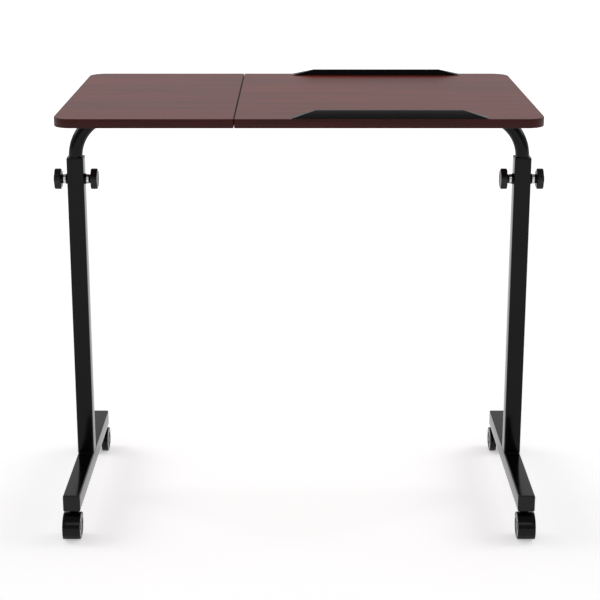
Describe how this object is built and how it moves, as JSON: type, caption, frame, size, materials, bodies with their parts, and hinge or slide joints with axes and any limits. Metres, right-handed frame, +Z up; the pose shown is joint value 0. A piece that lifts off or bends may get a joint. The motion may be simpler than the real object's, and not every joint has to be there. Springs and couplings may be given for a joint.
{
  "type": "overbed table",
  "caption": "Rolling overbed table: mahogany top in a fixed and a tilting board, round tube frame telescoping in two square posts, swivel casters.",
  "frame": {"origin": "on the floor under the middle of the table", "axes": "+X to the right along the tabletop, +Y to the rear, +Z up; the front edge with the ledge nearest the user is at -Y"},
  "size_m": [0.877, 0.5, 0.7711],
  "materials": {
    "mahogany_board": "mahogany melamine laminate on particle board, satin",
    "frame_steel": "black powder coat, semi-gloss",
    "black_plastic": "black moulded plastic",
    "wheel_plastic": "black nylon wheel, smooth",
    "zinc_plate": "bright zinc plate"
  },
  "bodies": {
    "left_leg": {"left_post": "frame_steel", "left_foot": "frame_steel", "left_bush": "black_plastic", "left_foot_cap_front": "black_plastic", "left_foot_cap_rear": "black_plastic", "left_outer_knob_boss": "frame_steel", "left_inner_knob_boss": "frame_steel", "left_front_caster_stem": "zinc_plate", "left_rear_caster_stem": "zinc_plate"},
    "right_leg": {"right_post": "frame_steel", "right_foot": "frame_steel", "right_bush": "black_plastic", "right_foot_cap_front": "black_plastic", "right_foot_cap_rear": "black_plastic", "right_outer_knob_boss": "frame_steel", "right_inner_knob_boss": "frame_steel", "right_front_caster_stem": "zinc_plate", "right_rear_caster_stem": "zinc_plate"},
    "upper_frame": {"u_tube": "frame_steel", "fixed_board": "mahogany_board", "saddle_clamp_outer": "frame_steel", "saddle_clamp_inner": "frame_steel"},
    "tilt_top": {"tilting_board": "mahogany_board", "front_ledge": "black_plastic", "rear_ledge": "black_plastic", "tilt_clamp_left": "black_plastic", "tilt_clamp_right": "black_plastic", "tilt_clamp_screw_left": "zinc_plate", "tilt_clamp_screw_right": "zinc_plate"},
    "left_outer_knob_screw": {"left_outer_knob_screw": "zinc_plate"},
    "left_outer_knob_grip": {"left_outer_knob_grip": "black_plastic"},
    "left_inner_knob_screw": {"left_inner_knob_screw": "zinc_plate"},
    "left_inner_knob_grip": {"left_inner_knob_grip": "black_plastic"},
    "left_front_caster": {"left_front_caster_hood": "black_plastic", "left_front_caster_axle": "zinc_plate"},
    "left_front_caster_wheel_left": {"left_front_caster_wheel_left": "wheel_plastic"},
    "left_front_caster_wheel_right": {"left_front_caster_wheel_right": "wheel_plastic"},
    "left_rear_caster": {"left_rear_caster_hood": "black_plastic", "left_rear_caster_axle": "zinc_plate"},
    "left_rear_caster_wheel_left": {"left_rear_caster_wheel_left": "wheel_plastic"},
    "left_rear_caster_wheel_right": {"left_rear_caster_wheel_right": "wheel_plastic"},
    "right_outer_knob_screw": {"right_outer_knob_screw": "zinc_plate"},
    "right_outer_knob_grip": {"right_outer_knob_grip": "black_plastic"},
    "right_inner_knob_screw": {"right_inner_knob_screw": "zinc_plate"},
    "right_inner_knob_grip": {"right_inner_knob_grip": "black_plastic"},
    "right_front_caster": {"right_front_caster_hood": "black_plastic", "right_front_caster_axle": "zinc_plate"},
    "right_front_caster_wheel_left": {"right_front_caster_wheel_left": "wheel_plastic"},
    "right_front_caster_wheel_right": {"right_front_caster_wheel_right": "wheel_plastic"},
    "right_rear_caster": {"right_rear_caster_hood": "black_plastic", "right_rear_caster_axle": "zinc_plate"},
    "right_rear_caster_wheel_left": {"right_rear_caster_wheel_left": "wheel_plastic"},
    "right_rear_caster_wheel_right": {"right_rear_caster_wheel_right": "wheel_plastic"}
  },
  "joints": [
    {"name": "height_slide", "type": "slide", "parent": "left_leg", "child": "upper_frame", "axis": [0, 0, 1], "range_m": [0, 0.3]},
    {"name": "right_leg_slide", "type": "slide", "parent": "upper_frame", "child": "right_leg", "axis": [0, 0, -1], "range_m": [0, 0.3]},
    {"name": "tilt", "type": "hinge", "parent": "upper_frame", "child": "tilt_top", "pos_m": [0.1475, 0, 0.7245], "axis": [1, 0, 0], "range_deg": [-45, 45]},
    {"name": "left_outer_knob_screw_travel", "type": "slide", "parent": "left_leg", "child": "left_outer_knob_screw", "axis": [-1, 0, 0], "range_m": [0, 0.0025]},
    {"name": "left_outer_knob_turn", "type": "hinge", "parent": "left_outer_knob_screw", "child": "left_outer_knob_grip", "pos_m": [-0.415, 0, 0.607], "axis": [-1, 0, 0], "range_deg": [0, 720]},
    {"name": "left_inner_knob_screw_travel", "type": "slide", "parent": "left_leg", "child": "left_inner_knob_screw", "axis": [1, 0, 0], "range_m": [0, 0.0025]},
    {"name": "left_inner_knob_turn", "type": "hinge", "parent": "left_inner_knob_screw", "child": "left_inner_knob_grip", "pos_m": [-0.385, 0, 0.607], "axis": [1, 0, 0], "range_deg": [0, 720]},
    {"name": "left_front_caster_swivel", "type": "hinge", "parent": "left_leg", "child": "left_front_caster", "pos_m": [-0.4, -0.181, 0.053], "axis": [0, 0, 1], "continuous": true},
    {"name": "left_front_caster_wheel_left_roll", "type": "hinge", "parent": "left_front_caster", "child": "left_front_caster_wheel_left", "pos_m": [-0.4, -0.2005, 0.023], "axis": [1, 0, 0], "continuous": true},
    {"name": "left_front_caster_wheel_right_roll", "type": "hinge", "parent": "left_front_caster", "child": "left_front_caster_wheel_right", "pos_m": [-0.4, -0.2005, 0.023], "axis": [1, 0, 0], "continuous": true},
    {"name": "left_rear_caster_swivel", "type": "hinge", "parent": "left_leg", "child": "left_rear_caster", "pos_m": [-0.4, 0.181, 0.053], "axis": [0, 0, 1], "continuous": true},
    {"name": "left_rear_caster_wheel_left_roll", "type": "hinge", "parent": "left_rear_caster", "child": "left_rear_caster_wheel_left", "pos_m": [-0.4, 0.2005, 0.023], "axis": [1, 0, 0], "continuous": true},
    {"name": "left_rear_caster_wheel_right_roll", "type": "hinge", "parent": "left_rear_caster", "child": "left_rear_caster_wheel_right", "pos_m": [-0.4, 0.2005, 0.023], "axis": [1, 0, 0], "continuous": true},
    {"name": "right_outer_knob_screw_travel", "type": "slide", "parent": "right_leg", "child": "right_outer_knob_screw", "axis": [1, 0, 0], "range_m": [0, 0.0025]},
    {"name": "right_outer_knob_turn", "type": "hinge", "parent": "right_outer_knob_screw", "child": "right_outer_knob_grip", "pos_m": [0.415, 0, 0.607], "axis": [1, 0, 0], "range_deg": [0, 720]},
    {"name": "right_inner_knob_screw_travel", "type": "slide", "parent": "right_leg", "child": "right_inner_knob_screw", "axis": [-1, 0, 0], "range_m": [0, 0.0025]},
    {"name": "right_inner_knob_turn", "type": "hinge", "parent": "right_inner_knob_screw", "child": "right_inner_knob_grip", "pos_m": [0.385, 0, 0.607], "axis": [-1, 0, 0], "range_deg": [0, 720]},
    {"name": "right_front_caster_swivel", "type": "hinge", "parent": "right_leg", "child": "right_front_caster", "pos_m": [0.4, -0.181, 0.053], "axis": [0, 0, 1], "continuous": true},
    {"name": "right_front_caster_wheel_left_roll", "type": "hinge", "parent": "right_front_caster", "child": "right_front_caster_wheel_left", "pos_m": [0.4, -0.2005, 0.023], "axis": [1, 0, 0], "continuous": true},
    {"name": "right_front_caster_wheel_right_roll", "type": "hinge", "parent": "right_front_caster", "child": "right_front_caster_wheel_right", "pos_m": [0.4, -0.2005, 0.023], "axis": [1, 0, 0], "continuous": true},
    {"name": "right_rear_caster_swivel", "type": "hinge", "parent": "right_leg", "child": "right_rear_caster", "pos_m": [0.4, 0.181, 0.053], "axis": [0, 0, 1], "continuous": true},
    {"name": "right_rear_caster_wheel_left_roll", "type": "hinge", "parent": "right_rear_caster", "child": "right_rear_caster_wheel_left", "pos_m": [0.4, 0.2005, 0.023], "axis": [1, 0, 0], "continuous": true},
    {"name": "right_rear_caster_wheel_right_roll", "type": "hinge", "parent": "right_rear_caster", "child": "right_rear_caster_wheel_right", "pos_m": [0.4, 0.2005, 0.023], "axis": [1, 0, 0], "continuous": true}
  ],
  "couplings": [
    {"joint": "right_leg_slide", "follows": "height_slide", "ratio": 1},
    {"joint": "left_outer_knob_turn", "follows": "left_outer_knob_screw_travel", "rad_per_m": 5026.5},
    {"joint": "left_inner_knob_turn", "follows": "left_inner_knob_screw_travel", "rad_per_m": 5026.5},
    {"joint": "right_outer_knob_turn", "follows": "right_outer_knob_screw_travel", "rad_per_m": 5026.5},
    {"joint": "right_inner_knob_turn", "follows": "right_inner_knob_screw_travel", "rad_per_m": 5026.5}
  ]
}
